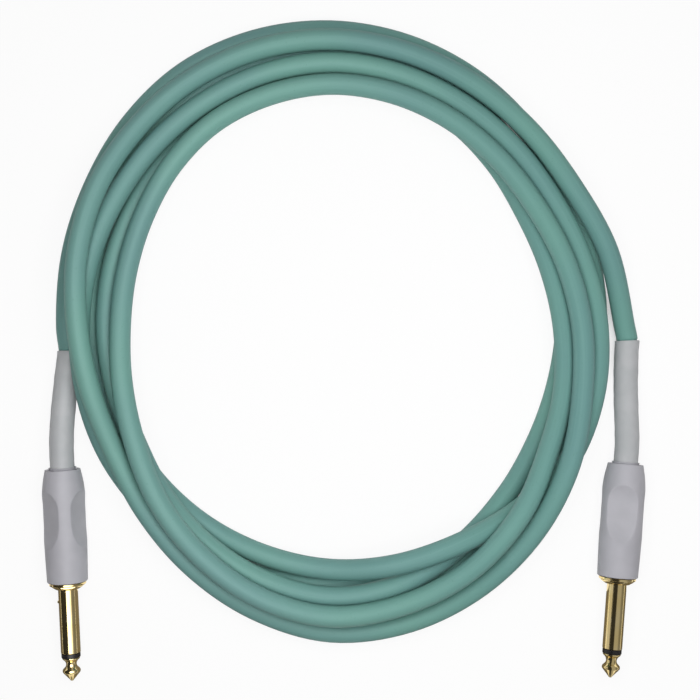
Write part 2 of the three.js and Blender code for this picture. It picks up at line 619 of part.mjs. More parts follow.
function coil() {
  const points = coilPoints();
  const end = points.length - 1;
  const corners = [];
  points.forEach((point, i) => {
    const along = points[Math.min(i + 1, end)].clone().sub(points[Math.max(i - 1, 0)]);
    if (i <= 1) along.copy(heading(COIL_FROM));
    if (i >= end - 1) along.copy(heading(coilTo));
    along.normalize();
    const sideways = new THREE.Vector3(0, 0, 1).cross(along).normalize();
    const upwards = along.clone().cross(sideways);
    for (let k = 0; k < COIL_SIDES; k += 1) {
      const angle = (2 * Math.PI * (k + 0.5)) / COIL_SIDES;
      corners.push(point.clone()
        .addScaledVector(sideways, (CABLE_D / 2) * Math.cos(angle))
        .addScaledVector(upwards, (CABLE_D / 2) * Math.sin(angle)));
    }
  });
  const faces = [];
  for (let i = 0; i < end; i += 1) {
    for (let k = 0; k < COIL_SIDES; k += 1) {
      const next = (k + 1) % COIL_SIDES;
      const [a, b] = [i * COIL_SIDES + k, i * COIL_SIDES + next];
      const [c, d] = [a + COIL_SIDES, b + COIL_SIDES];
      faces.push([a, b, d], [a, d, c]);
    }
  }
  for (let k = 1; k < COIL_SIDES - 1; k += 1) {
    const far = end * COIL_SIDES;
    faces.push([0, k + 1, k], [far, far + k, far + k + 1]);
  }
  const geometry = new THREE.BufferGeometry().setFromPoints(corners);
  geometry.setIndex(faces.flat());
  return closed(geometry);
}

// The least gap between two strands of the coil, measured on points along it.
function leastGap() {
  const line = coilPoints();
  const points = [];
  for (let i = 0; i < line.length - 1; i += 1) {
    for (let k = 0; k < 8; k += 1) points.push(line[i].clone().lerp(line[i + 1], k / 8));
  }
  let least = Infinity;
  const apart = 3 * 8;
  for (let i = 0; i < points.length; i += 1) {
    for (let j = i + apart; j < points.length; j += 1) {
      least = Math.min(least, points[i].distanceTo(points[j]));
    }
  }
  return least - CABLE_D;
}

// ---------------------------------------------------------------- the cable at one plug
function plugFrame(plug) {
  const { rim, heading: turn, nose, roll } = plug;
  const group = new THREE.Group();
  group.position.copy(beside(plug)(rim));
  group.rotation.set(radians(nose), radians(roll), Math.PI + radians(turn), 'ZXY');
  group.updateMatrixWorld();
  return group;
}

// The cable's whole way from the stripped end of its jacket to where the coil begins. The boot
// covers it from inside the barrel to the boot's mouth.
function cableRun(frame, boot, joint, ahead, lead) {
  const onAxis = (distance) => frame.localToWorld(new THREE.Vector3(0, distance, 0));
  const mouth = boot[boot.length - 1];
  const points = [onAxis(JACKET_END_AT), onAxis(JACKET_END_AT / 2), onAxis(0),
    onAxis(-BOOT_STRAIGHT), ...boot, ...lead,
    joint.clone().addScaledVector(ahead, -CABLE_D), joint];
  const curve = smooth(points);
  const total = curve.getLength();
  const lengths = curve.getLengths();
  let mouthAt = 0;
  let nearest = Infinity;
  lengths.forEach((length, i) => {
    const distance = curve.getPoint(i / (lengths.length - 1)).distanceTo(mouth);
    if (distance < nearest) [nearest, mouthAt] = [distance, length];
  });
  return {
    tail: new Stretch(curve, 0, mouthAt),
    boot: new Stretch(curve, JACKET_END_AT - BOOT_INSIDE, mouthAt),
    lead: new Stretch(curve, mouthAt + FACE_GAP, total - FACE_GAP),
    leadLength: total - mouthAt - 2 * FACE_GAP,
    length: total,
  };
}

// ---------------------------------------------------------------- assembly
const cable = new THREE.Group();

function add(parent, name, geometry, finish) {
  const mesh = new THREE.Mesh(geometry, new THREE.MeshStandardMaterial(FINISH[finish]));
  mesh.name = name;
  parent.add(mesh);
  return mesh;
}

function addPlug(side, frame, nibTurn) {
  cable.add(frame);
  add(frame, `${side}_tip_contact`, tipContact(), 'gold');
  add(frame, `${side}_tip_ring`, tipRing(), 'black');
  add(frame, `${side}_rod_insulator`, rodInsulator(), 'nylon');
  add(frame, `${side}_sleeve`, sleeve(nibTurn), 'gold');
  add(frame, `${side}_ground_claw`, groundClaw(), 'gold');
  add(frame, `${side}_fibre_washer`, fibreWasher(), 'fibre');
  add(frame, `${side}_tip_tag`, tipTag(), 'gold');
  add(frame, `${side}_liner`, liner(), 'liner');
  add(frame, `${side}_barrel`, barrel(), 'paint');
  add(frame, `${side}_core`, core(), 'core');
  add(frame, `${side}_conductor`, conductor(), 'copper');
  add(frame, `${side}_shield_pigtail`, pigtail(), 'copper');
  add(frame, `${side}_tip_solder`, tipSolder(), 'solder');
  add(frame, `${side}_ground_solder`, groundSolder(), 'solder');
}

function addRun(side, run) {
  const steps = (length) => Math.max(2, Math.round(length / LEAD_STEP));
  add(cable, `${side}_cable_tail`, swept(run.tail, TAIL_D / 2, 12, 14), 'jacket');
  add(cable, `${side}_boot`, swept(run.boot, BOOT_D / 2, 20, 14, CABLE_D / 2), 'boot');
  add(cable, `${side}_lead`, swept(run.lead, CABLE_D / 2, LEAD_SIDES, steps(run.leadLength)), 'jacket');
}

const leftFrame = plugFrame(LEFT);
const rightFrame = plugFrame(RIGHT);
addPlug('left', leftFrame, LEFT.nib);
addPlug('right', rightFrame, RIGHT.nib);

const leftRun = cableRun(leftFrame, LEFT_BOOT_ROUTE.map(beside(LEFT)), route[COIL_FROM],
  heading(COIL_FROM), route.slice(0, COIL_FROM));
const rightRun = cableRun(rightFrame, RIGHT_BOOT_ROUTE.map(beside(RIGHT)), route[coilTo],
  heading(coilTo).negate(), route.slice(coilTo + 1).reverse());
addRun('left', leftRun);
addRun('right', rightRun);
add(cable, 'cable_coil', coil(), 'jacket');

const coilLength = coilPoints().reduce((sum, point, i, all) => (
  i ? sum + point.distanceTo(all[i - 1]) : 0), 0);
console.log(`least gap between the coil's strands: ${leastGap().toFixed(2)} mm`);
const wholeLength = coilLength + leftRun.length + rightRun.length;
console.log(`cable between the stripped ends: ${wholeLength.toFixed(0)} mm`);

export default cable;
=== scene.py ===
import json
import math

import bmesh
import bpy
from mathutils import Matrix, Vector


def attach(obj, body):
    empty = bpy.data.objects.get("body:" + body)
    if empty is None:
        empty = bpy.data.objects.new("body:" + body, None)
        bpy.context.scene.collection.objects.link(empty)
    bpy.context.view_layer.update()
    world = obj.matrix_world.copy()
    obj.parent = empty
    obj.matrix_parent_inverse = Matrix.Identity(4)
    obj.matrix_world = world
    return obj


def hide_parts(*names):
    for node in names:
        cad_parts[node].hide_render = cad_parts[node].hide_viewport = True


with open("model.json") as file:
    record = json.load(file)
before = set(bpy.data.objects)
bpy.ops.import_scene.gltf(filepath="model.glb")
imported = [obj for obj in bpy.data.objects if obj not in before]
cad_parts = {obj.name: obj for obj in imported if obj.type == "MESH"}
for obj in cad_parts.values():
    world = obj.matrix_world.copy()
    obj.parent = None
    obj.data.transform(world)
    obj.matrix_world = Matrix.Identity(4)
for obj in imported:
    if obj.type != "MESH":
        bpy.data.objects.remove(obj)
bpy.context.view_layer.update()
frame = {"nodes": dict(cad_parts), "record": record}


# ---- Camera
# The photograph looks straight down on the coil, from close by: the plugs at its edges are seen a
# little from behind. Its scale is set by the plugs' sleeves, a quarter of an inch across.
MM = 0.001
PICTURE_PIXELS = 700
PIXELS_PER_MM = 3.06
SCALE_HEIGHT = 7 * MM
CAMERA_AT = Vector((2.04, 52.2, 420)) * MM
NEAREST_SEEN = 10 * MM
FARTHEST_SEEN = 20

camera = bpy.data.objects.new("camera", bpy.data.cameras.new("camera"))
bpy.context.collection.objects.link(camera)
camera.location = CAMERA_AT
camera.data.clip_start = NEAREST_SEEN
camera.data.clip_end = FARTHEST_SEEN
picture_width = PICTURE_PIXELS / PIXELS_PER_MM * MM
camera.data.sensor_fit = "HORIZONTAL"
camera.data.angle = 2 * math.atan(picture_width / 2 / (CAMERA_AT.z - SCALE_HEIGHT))
bpy.context.scene.camera = camera


# ---- Cable: its route
# A soft PVC jacket, 6.9 mm across, wound by hand into a loose pile of five and a half turns. The
# strands are laid where the photograph shows them, an hour of the clock face at a time, then sink
# on to each other as circles in a heap do, keep off the left boot, and stay near where they lay.
CABLE_D = 6.9
BOOT_WALL = 0.5
BOOT_D = CABLE_D + 2 * BOOT_WALL
STRAND_GAP = 0.6
COIL_CENTRE = (-4.2, 60.1)
COIL_RADIUS = 84
LAYER_RISE = 7
CLOCK_HOURS = 12
FIRST_HOUR = 9
# One station for each hour, from the left boot's mouth round to the right one's: how far out from
# the coil's radius the strand lies, in millimetres, and its layer.
PILE = [
    (3, 0.1), (6.5, 0), (12.5, 0), (13, 0),
    (9, 0), (5.5, 0), (3.5, 0), (3.5, 0), (3.5, 0), (1, 0),
    (1.5, 0.2), (0, 0.6), (-2, 0.8), (-2.5, 1), (-1, 1), (1, 1),
    (-0.5, 1), (-1.5, 1), (2.5, 1), (4.5, 1), (-2, 0.8), (-4.5, 0.6),
    (-6, 0.3), (-7, 0.1), (-5.5, 0.1), (-1.5, 0.2), (4, 0.2), (5.5, 0.2),
    (3, 0), (-3.5, 0), (-7, 0.2), (-6, 0.4), (0.5, 0.7), (4, 1.2),
    (-2.5, 1.3), (-10, 0.8), (-10, 0.1), (-8, 0.1), (-5.5, 0.4), (-3.5, 0.4),
    (-5, 0.6), (-10, 0.8), (-8, 0.8), (-2, 1), (5.5, 1.4), (9, 1.8),
    (0, 2), (-11.5, 1.7), (-16, 1.2), (-13.5, 0.7), (-7.5, 0.7), (-5, 1.3),
    (-6.5, 1.7), (-7.5, 1.8), (-4, 1.7), (2.5, 1.4), (13, 0.9), (16, 0.8),
    (6, 1), (-3.5, 1.2), (-3.5, 1.4), (2.5, 1.5), (7.5, 1.2), (8.5, 0.9),
    (6.5, 0.8), (5.5, 0.5), (12.5, 0.1),
]
STEPS_PER_HOUR = 2
PUSHES_PER_STEP = 3
PLACES_ROUND = CLOCK_HOURS * STEPS_PER_HOUR * PUSHES_PER_STEP
# The pile settles in rounds, and in the last of them the strands only push each other apart. The
# shares are: how far a strand is drawn back to where it lay, how much of a bend it straightens,
# and how much of a push moves it sideways.
SINKING_ROUNDS = 500
PARTING_ROUNDS = 100
SINK_PER_ROUND = 0.1
HOLD_SHARE = 0.08
STIFFNESS_SHARE = 0.12
SIDE_SHARE = 0.25
LEAST_DISTANCE = 1e-6
BOOT_CROSSING_SAMPLES = 16
LEFT_BOOT_ROUTE = [(3.9, 24.8, 7.4), (3.7, 30.6, 6.7), (3.3, 37.2, 5.7),
                   (2.8, 43.7, 4.7), (2.3, 48.5, 4.3), (2.1, 51.9, 4.1)]
RIGHT_BOOT_ROUTE = [(12.9, 26, 6.2), (12.8, 32.6, 5.6), (12.8, 39.8, 4.9),
                    (13, 46.8, 4.4), (13.2, 52, 4.2), (13.4, 55.3, 4.15)]


def beside(side, route):
    """A boot's route, given as how far out from the coil's radius, along Y and up, as points.
    side is -1 for the left boot and 1 for the right one."""
    return [(COIL_CENTRE[0] + side * (COIL_RADIUS + out), y, z) for out, y, z in route]


def spline(points, samples):
    """A centripetal Catmull-Rom curve through the points, as many samples to each span."""
    points = [Vector(point) for point in points]
    ends = [2 * points[0] - points[1], 2 * points[-1] - points[-2]]
    points = [ends[0], *points, ends[1]]
    line = []
    for a, b, c, d in zip(points, points[1:], points[2:], points[3:]):
        ab, bc, cd = [(q - p).length ** 0.5 for p, q in ((a, b), (b, c), (c, d))]
        out = ((b - a) / ab - (c - a) / (ab + bc) + (c - b) / bc) * bc
        back = ((c - b) / bc - (d - b) / (bc + cd) + (d - c) / cd) * bc
        for k in range(samples):
            t = k / samples
            line.append(b * (2 * t**3 - 3 * t**2 + 1) + out * (t**3 - 2 * t**2 + t)
                        + c * (3 * t**2 - 2 * t**3) + back * (t**3 - t**2))
    return line + [points[-2]]


def laid_route():
    """Each step of the pile as laid, with the steps between the hours: angle, radius and height."""
    def blend(a, b, c, d, t):
        return 0.5 * (2 * b + (c - a) * t + (2 * a - 5 * b + 4 * c - d) * t * t
                      + (3 * b - a - 3 * c + d) * t**3)

    steps = []
    last = len(PILE) - 1
    for i in range(last * STEPS_PER_HOUR + 1):
        hour = min(i // STEPS_PER_HOUR, last - 1)
        t = i / STEPS_PER_HOUR - hour
        near = [PILE[min(max(hour + k, 0), last)] for k in (-1, 0, 1, 2)]
        radius = COIL_RADIUS + blend(*(station[0] for station in near), t)
        layer = max(0, blend(*(station[1] for station in near), t))
        angle = math.radians((FIRST_HOUR + hour + t) * 360 / CLOCK_HOURS)
        steps.append([angle, radius, CABLE_D / 2 + LAYER_RISE * layer])
    return steps


def boot_crossings():
    """The radius and height at which the left boot, which lies in the pile's way, crosses each
    place round the clock that it reaches."""
    crossings = {}
    for x, y, z in spline(beside(-1, LEFT_BOOT_ROUTE), BOOT_CROSSING_SAMPLES):
        east, north = x - COIL_CENTRE[0], y - COIL_CENTRE[1]
        turns = math.atan2(east, north) / (2 * math.pi) - FIRST_HOUR / CLOCK_HOURS
        crossings[round(turns * PLACES_ROUND) % PLACES_ROUND] = (math.hypot(east, north), z)
    return crossings


def settled_route():
    """The centreline of the pile once it has settled, in millimetres."""
    steps = laid_route()
    last = len(steps) - 1
    goal = [step[1] for step in steps]
    ends = [(0, steps[0][2]), (last, steps[last][2])]
    apart = CABLE_D + STRAND_GAP
    off_boot = (CABLE_D + BOOT_D) / 2 + STRAND_GAP
    boots = boot_crossings()
    heaps = {}
    for i in range(last):
        for k in range(PUSHES_PER_STEP):
            place = (i * PUSHES_PER_STEP + k) % PLACES_ROUND
            heaps.setdefault(place, []).append((i, k / PUSHES_PER_STEP))

    def between(i, t):
        (_, r0, z0), (_, r1, z1) = steps[i], steps[i + 1]
        return r0 * (1 - t) + r1 * t, z0 * (1 - t) + z1 * t

    def shift(i, t, side, up):
        weight = (1 - t) ** 2 + t * t
        for n, share in ((i, 1 - t), (i + 1, t)):
            steps[n][1] += side * SIDE_SHARE * share / weight
            steps[n][2] += up * share / weight

    for settling in range(SINKING_ROUNDS + PARTING_ROUNDS):
        if settling < SINKING_ROUNDS:
            old = [(step[1] - aim, step[2]) for step, aim in zip(steps, goal)]
            for i in range(1, last):
                drift = (old[i - 1][0] + old[i + 1][0]) / 2 - old[i][0]
                bend = (old[i - 1][1] + old[i + 1][1]) / 2 - old[i][1]
                steps[i][1] = goal[i] + (old[i][0] + STIFFNESS_SHARE * drift) * (1 - HOLD_SHARE)
                steps[i][2] = old[i][1] + STIFFNESS_SHARE * bend - SINK_PER_ROUND
        for place, heap in heaps.items():
            for n, (i, t) in enumerate(heap):
                for j, u in heap[n + 1:]:
                    (r0, z0), (r1, z1) = between(i, t), between(j, u)
                    distance = math.hypot(r1 - r0, z1 - z0)
                    if distance < apart:
                        push = (apart - distance) / 2 / max(distance, LEAST_DISTANCE)
                        shift(i, t, (r0 - r1) * push, (z0 - z1) * push)
                        shift(j, u, (r1 - r0) * push, (z1 - z0) * push)
                if place in boots:
                    (r0, z0), (r1, z1) = boots[place], between(i, t)
                    distance = math.hypot(r1 - r0, z1 - z0)
                    if distance < off_boot:
                        push = (off_boot - distance) / max(distance, LEAST_DISTANCE)
                        shift(i, t, (r1 - r0) * push, (z1 - z0) * push)
        for step in steps:
            step[2] = max(step[2], CABLE_D / 2)
        for n, height in ends:
            steps[n][1:] = goal[n], height
    return [Vector((COIL_CENTRE[0] + radius * math.sin(angle),
                    COIL_CENTRE[1] + radius * math.cos(angle), height))
            for angle, radius, height in steps]


# The cable leaves each plug along the plug's own axis, which the barrel's joint gives. These are
# distances along that axis from the barrel's rear rim.
BOOT_STRAIGHT = 5.5
BOOT_INSIDE = 3.5
JACKET_END_AT = 13.5


def plug_axis(side):
    """The middle of the barrel's rear rim and the direction of the plug's point, in mm."""
    joints = frame["record"]["behaviour"]["joints"]
    turn = next(joint for joint in joints if joint["name"] == f"{side}_barrel_turn")
    return Vector(turn["pos_m"]) / MM, -Vector(turn["axis"]).normalized()


def boot_line(side, route):
    """The centreline in mm from inside the barrel to the boot's mouth."""
    rim, ahead = plug_axis(side)
    along = [rim + ahead * at for at in (JACKET_END_AT, JACKET_END_AT / 2, 0, -BOOT_STRAIGHT)]
    return along + [Vector(point) for point in route]


left_line = boot_line("left", beside(-1, LEFT_BOOT_ROUTE))
right_line = boot_line("right", beside(1, RIGHT_BOOT_ROUTE))
pile = settled_route()
CABLE_SAMPLES = 8
whole_line = spline(left_line + pile + right_line[::-1], CABLE_SAMPLES)
left_mouth = (len(left_line) - 1) * CABLE_SAMPLES
right_mouth = len(whole_line) - 1 - (len(right_line) - 1) * CABLE_SAMPLES


# ---- Cable: the jacket
# One smooth extruded tube from boot to boot. Each point also carries its place on the straight,
# uncoiled cable, in millimetres, so that the jacket's grain follows it round the coil.
SMOOTH_BELOW = math.radians(35)


def tube_mesh(name, line, radius_at, sides, wall=None):
    """A tube along a line in mm. radius_at gives its outer radius at a distance along it. With a
    wall it is a pipe, and without one it is solid."""
    line = [Vector(point) for point in line]
    across = Vector((0, 0, 1)).cross(line[1] - line[0]).normalized()
    rows, distance = [], 0
    for i, point in enumerate(line):
        ahead = (line[min(i + 1, len(line) - 1)] - line[max(i - 1, 0)]).normalized()
        across = (across - ahead * across.dot(ahead)).normalized()
        upright = ahead.cross(across)
        if i:
            distance += (point - line[i - 1]).length
        rows.append((point, across.copy(), upright, distance))
    depths = [0] if wall is None else [0, wall]
    mesh = bmesh.new()
    lay = mesh.verts.layers.float_vector.new("lay")
    shells = []
    for depth in depths:
        shell = []
        for point, side_way, upright, distance in rows:
            radius = radius_at(distance) - depth
            ring = []
            for k in range(sides):
                angle = 2 * math.pi * k / sides
                east, north = radius * math.cos(angle), radius * math.sin(angle)
                vert = mesh.verts.new((point + side_way * east + upright * north) * MM)
                vert[lay] = (east, north, distance)
                ring.append(vert)
            shell.append(ring)
        shells.append(shell)
    for inside, shell in enumerate(shells):
        for ring, following in zip(shell, shell[1:]):
            for k in range(sides):
                corners = [ring[k], ring[(k + 1) % sides], following[(k + 1) % sides], following[k]]
                mesh.faces.new(corners[::-1] if inside else corners)
    outer = shells[0]
    for end in (0, -1):
        if wall is None:
            mesh.faces.new(outer[end][::-1] if end == 0 else outer[end])
            continue
        inner = shells[1]
        for k in range(sides):
            corners = [outer[end][k], inner[end][k], inner[end][(k + 1) % sides],
                       outer[end][(k + 1) % sides]]
            mesh.faces.new(corners if end == 0 else corners[::-1])
    return finished(name, mesh)


def finished(name, mesh):
    """An object from a bmesh, smooth except where its faces meet at a sharp edge."""
    data = bpy.data.meshes.new(name)
    for face in mesh.faces:
        face.smooth = True
    for edge in mesh.edges:
        if len(edge.link_faces) == 2 and edge.calc_face_angle(0) > SMOOTH_BELOW:
            edge.smooth = False
    mesh.to_mesh(data)
    mesh.free()
    piece = bpy.data.objects.new(name, data)
    bpy.context.collection.objects.link(piece)
    return piece


class Value:
    """One output of a node. Python's operators on it add Math nodes to its tree."""

    def __init__(self, nodes, socket):
        self.nodes = nodes
        self.socket = socket

    def maths(self, operation, *others):
        return self.nodes.add("ShaderNodeMath", {"operation": operation},
                              dict(enumerate((self, *others))))

    def __add__(self, other):
        return self.maths("ADD", other)

    __radd__ = __add__

    def __sub__(self, other):
        return self.maths("SUBTRACT", other)

    def __rsub__(self, other):
        return (self * -1) + other

    def __mul__(self, other):
        return self.maths("MULTIPLY", other)

    __rmul__ = __mul__

    def __truediv__(self, other):
        return self.maths("DIVIDE", other)

    def __rtruediv__(self, other):
        return self.maths("POWER", -1) * other

    def between(self, low, high):
        """0 below low, 1 above high, and a soft step from one to the other."""
        return self.nodes.add("ShaderNodeMapRange", {"interpolation_type": "SMOOTHSTEP"},
                              {"Value": self, "From Min": low, "From Max": high})

    def also(self, output):
        """Another output of the same node."""
        return Value(self.nodes, self.socket.node.outputs[output])


class Nodes:
    """A node tree that is written by calls."""

    def __init__(self, tree):
        self.tree = tree

    def add(self, kind, settings=None, inputs=None, output=0):
        """A node of a kind: its settings are set first, then its sockets' values or links."""
        node = self.tree.nodes.new(kind)
        for key, value in (settings or {}).items():
            setattr(node, key, value)
        for key, value in (inputs or {}).items():
            if isinstance(value, Value):
                self.tree.links.new(value.socket, node.inputs[key])
            else:
                node.inputs[key].default_value = value
        return Value(self, node.outputs[output])

    def noise(self, place, scale, detail):
        return self.add("ShaderNodeTexNoise", None,
                        {"Vector": place, "Scale": scale, "Detail": detail})

    def stretched(self, place, scale):
        return self.add("ShaderNodeMapping", None, {"Vector": place, "Scale": scale})

    def mixed(self, factor, first, second):
        return self.add("ShaderNodeMix", {"data_type": "RGBA"},
                        {0: factor, 6: first, 7: second}, output=2)

    def bump(self, height, strength, distance):
        return self.add("ShaderNodeBump", None,
                        {"Height": height, "Strength": strength, "Distance": distance})


def finish(name, sockets, paint):
    """A material. sockets holds the shader's plain values, and paint gives the ones that vary."""
    material = bpy.data.materials.new(name)
    material.use_nodes = True
    nodes = Nodes(material.node_tree)
    shader = material.node_tree.nodes["Principled BSDF"]
    for key, value in sockets.items():
        shader.inputs[key].default_value = value
    for key, value in paint(nodes).items():
        material.node_tree.links.new(value.socket, shader.inputs[key])
    return material


def shade(*srgb):
    """A colour picked as it looks, 0 to 255, as the shader's linear value."""
    return (*(((c / 255 + 0.055) / 1.055) ** 2.4 for c in srgb), 1)


def jacket_paint(nodes):
    lay = nodes.add("ShaderNodeAttribute", {"attribute_name": "lay"}, output=1)
    drawn = nodes.noise(nodes.stretched(lay, (0.9, 0.9, 0.012)), 1.0, 3)
    cloud = nodes.noise(lay, 0.012, 2)
    grain = nodes.noise(nodes.stretched(lay, (1, 1, 0.55)), 5.5, 3)
    pits = nodes.noise(lay, 1.3, 2)
    colour = nodes.mixed(cloud.between(0.35, 0.65), shade(101, 143, 140), shade(106, 153, 143))
    colour = nodes.mixed(drawn.between(0.45, 0.8) * 0.5, colour, shade(114, 158, 151))
    colour = nodes.mixed(pits.between(0.62, 0.8) * 0.35, colour, shade(86, 131, 121))
    height = drawn * 0.6 + grain * 0.25 + pits * 0.35
    return {"Base Color": colour, "Roughness": 0.5 + grain * 0.14,
            "Normal": nodes.bump(height, 0.35, 0.00008)}


jacket = finish("jacket", {"Specular IOR Level": 0.35}, jacket_paint)

MOUTH_GAP = 0.3
JACKET_SIDES = 24
cable_line = [point.copy() for point in whole_line[left_mouth:right_mouth + 1]]
cable_line[0] += (cable_line[1] - cable_line[0]).normalized() * MOUTH_GAP
cable_line[-1] += (cable_line[-2] - cable_line[-1]).normalized() * MOUTH_GAP
for point in cable_line:
    point.z = max(point.z, CABLE_D / 2)
cable = tube_mesh("cable", cable_line, lambda along: CABLE_D / 2, JACKET_SIDES)
cable.data.materials.append(jacket)
cable_length = sum((b - a).length for a, b in zip(cable_line, cable_line[1:]))
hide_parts("left_lead", "cable_coil", "right_lead")
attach(cable, "plugs_and_cable")
cable_line[0] * MM
[point * MM for point in cable_line]


# ---- Cable: the two ends inside the boots and barrels
# The last stretch of the same jacket, stripped where it ends in the barrel. The shrunk boot and the
# ground claw press it a little thinner, and it meets the cable just outside the boot's mouth.
SHRINK_SQUEEZE = 0.2
TAIL_D = CABLE_D - 2 * SHRINK_SQUEEZE
ends = {"left": whole_line[:left_mouth + 1], "right": whole_line[right_mouth:][::-1]}
meets = {"left": cable_line[0], "right": cable_line[-1]}
for side, line in ends.items():
    tail = tube_mesh(f"{side}_tail", line + [meets[side]], lambda along: TAIL_D / 2, JACKET_SIDES)
    tail.data.materials.append(jacket)
    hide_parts(f"{side}_cable_tail")
    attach(tail, "plugs_and_cable")


# ---- Boots
# Grey polyolefin tube, shrunk with hot air over the cable's exit. It hugs the jacket, so its
# surface is slightly uneven, and its cut end stands square, with a wall of half a millimetre.
CUT_EDGE = 0.25
CUT_EASE = 0.12
UNEVENNESS = 0.05
SHORT_RIPPLE = 0.9
LONG_RIPPLE = 0.31
BOOT_SIDES = 64
BOOT_STEP = 0.5
EDGE_STEPS = (0, 0.04, 0.1, 0.17, CUT_EDGE)


def boot_paint(nodes):
    lay = nodes.add("ShaderNodeAttribute", {"attribute_name": "lay"}, output=1)
    drawn = nodes.noise(nodes.stretched(lay, (0.7, 0.7, 0.06)), 1.0, 3)
    grain = nodes.noise(lay, 6.0, 3)
    cloud = nodes.noise(lay, 0.16, 2)
    colour = nodes.mixed(cloud.between(0.3, 0.7), shade(172, 174, 176), shade(180, 181, 183))
    colour = nodes.mixed(grain.between(0.5, 0.8) * 0.3, colour, shade(160, 162, 165))
    height = drawn * 0.8 + grain * 0.2 + cloud * 1.2
    return {"Base Color": colour, "Roughness": 0.46 + grain * 0.12,
            "Normal": nodes.bump(height, 0.3, 0.0001)}


heat_shrink = finish("heat_shrink", {"Specular IOR Level": 0.3}, boot_paint)


def boot_radius(start, end):
    """The boot's outer radius along it: eased at both cut edges, and gently uneven."""
    def at(along):
        edge = min(along, end - start - along)
        ease = CUT_EASE * max(0, 1 - edge / CUT_EDGE) ** 2
        wave = UNEVENNESS * math.sin(along * SHORT_RIPPLE) * math.sin(along * LONG_RIPPLE + 1)
        return BOOT_D / 2 - ease + wave
    return at


def points_at(line, distances):
    """The points at these distances along a line."""
    points, travelled, i = [], 0, 0
    for wanted in distances:
        while i < len(line) - 2 and travelled + (line[i + 1] - line[i]).length < wanted:
            travelled += (line[i + 1] - line[i]).length
            i += 1
        points.append(line[i].lerp(line[i + 1],
                                   (wanted - travelled) / (line[i + 1] - line[i]).length))
    return points


for side, line in ends.items():
    start = JACKET_END_AT - BOOT_INSIDE
    end = sum((b - a).length for a, b in zip(line, line[1:]))
    middle = round((end - start) / BOOT_STEP)
    places = [start + step for step in EDGE_STEPS]
    places += [start + (end - start) * k / middle for k in range(1, middle)]
    places += [end - step for step in reversed(EDGE_STEPS)]
    boot = tube_mesh(f"{side}_boot_tube", points_at(line, places), boot_radius(start, end),
                     BOOT_SIDES, wall=BOOT_WALL)
    boot.data.materials.append(heat_shrink)
    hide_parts(f"{side}_boot")
    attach(boot, "plugs_and_cable")


# ---- Plug barrels
# Turned brass under a soft lavender-grey coat. The blank is bellied, bored for the cable and
# widened in its mouth, where the real barrel is threaded, and three finger scallops are milled
# along it, a third of a turn apart.
PLUG_ROLL = {"left": math.radians(47), "right": math.radians(12)}
BARREL_LENGTH = 37.3
BARREL_BORE_R = 4.35
BARREL_MOUTH_R = 5.45
BARREL_MOUTH_FROM = 32.2
# The radius of the barrel's outside at places along it from the rear rim.
BARREL_OUTSIDE = [(5.7, 0.6), (5.93, 1.7), (6.35, 3.8), (6.7, 6.2), (6.89, 8.6), (7.0, 14),
                  (6.92, 22), (6.8, 28), (6.67, 33), (6.56, 36.7)]
BARREL_SAMPLES = 21
BARREL_SIDES = 216
REAR_EDGE = 0.6
FRONT_EDGE = 0.36
FRONT_STRAIGHT_FROM = 36.6
BORE_CHAMFER = 0.3
# The scallops: how many, how far they are from the axis where they are deepest and where they run
# out, the places along the barrel where they do, and how soft their edges are.
SCALLOPS = {"Count": 3.0, "Floor": 5.1, "Fade": 7.0, "From": 7.0, "Deep from": 13.0,
            "Deep to": 18.0, "To": 26.4, "Softness": 0.3}
CORNER_STEPS = 5
ON_AXIS = 1e-6


def plug_place(side):
    """The matrix from a plug's own place, in mm with its axis along +Y, to the scene."""
    rim, ahead = plug_axis(side)
    heading, nose = math.atan2(ahead.x, -ahead.y), math.asin(ahead.z)
    turn = (Matrix.Rotation(math.pi + heading, 4, "Z") @ Matrix.Rotation(nose, 4, "X")
            @ Matrix.Rotation(PLUG_ROLL[side], 4, "Y"))
    return Matrix.Translation(rim * MM) @ turn @ Matrix.Scale(MM, 4)


def rounded(corners):
    """A profile from corners, each (radius, at), or (radius, at, rounding) where it is rounded."""
    profile = []
    for i, corner in enumerate(corners):
        here = Vector(corner[:2])
        if len(corner) < 3:
            profile.append(here)
            continue
        before = (Vector(corners[i - 1][:2]) - here).normalized()
        after = (Vector(corners[(i + 1) % len(corners)][:2]) - here).normalized()
        half = before.angle(after) / 2
        centre = here + (before + after).normalized() * corner[2] / math.sin(half)
        start = here + before * corner[2] / math.tan(half) - centre
        sweep = start.angle_signed(here + after * corner[2] / math.tan(half) - centre)
        for k in range(CORNER_STEPS + 1):
            profile.append(centre + Matrix.Rotation(-sweep * k / CORNER_STEPS, 2) @ start)
    return profile


def turned(name, profile, sides):
    """A solid of revolution about +Y. A profile that starts off the axis is closed into a ring."""
    mesh = bmesh.new()
    rings = []
    for radius, at in profile:
        if radius < ON_AXIS:
            rings.append([mesh.verts.new((0, at, 0))] * sides)
            continue
        angles = [2 * math.pi * k / sides for k in range(sides)]
        rings.append([mesh.verts.new((radius * math.sin(a), at, radius * math.cos(a)))
                      for a in angles])
    pairs = list(zip(rings, rings[1:]))
    if profile[0][0] > ON_AXIS:
        pairs.append((rings[-1], rings[0]))
    for ring, following in pairs:
        for k in range(sides):
            corners = [ring[k], ring[(k + 1) % sides], following[(k + 1) % sides], following[k]]
            corners = list(dict.fromkeys(corners))
            if len(corners) > 2:
                mesh.faces.new(corners)
    bmesh.ops.recalc_face_normals(mesh, faces=mesh.faces)
    return finished(name, mesh)


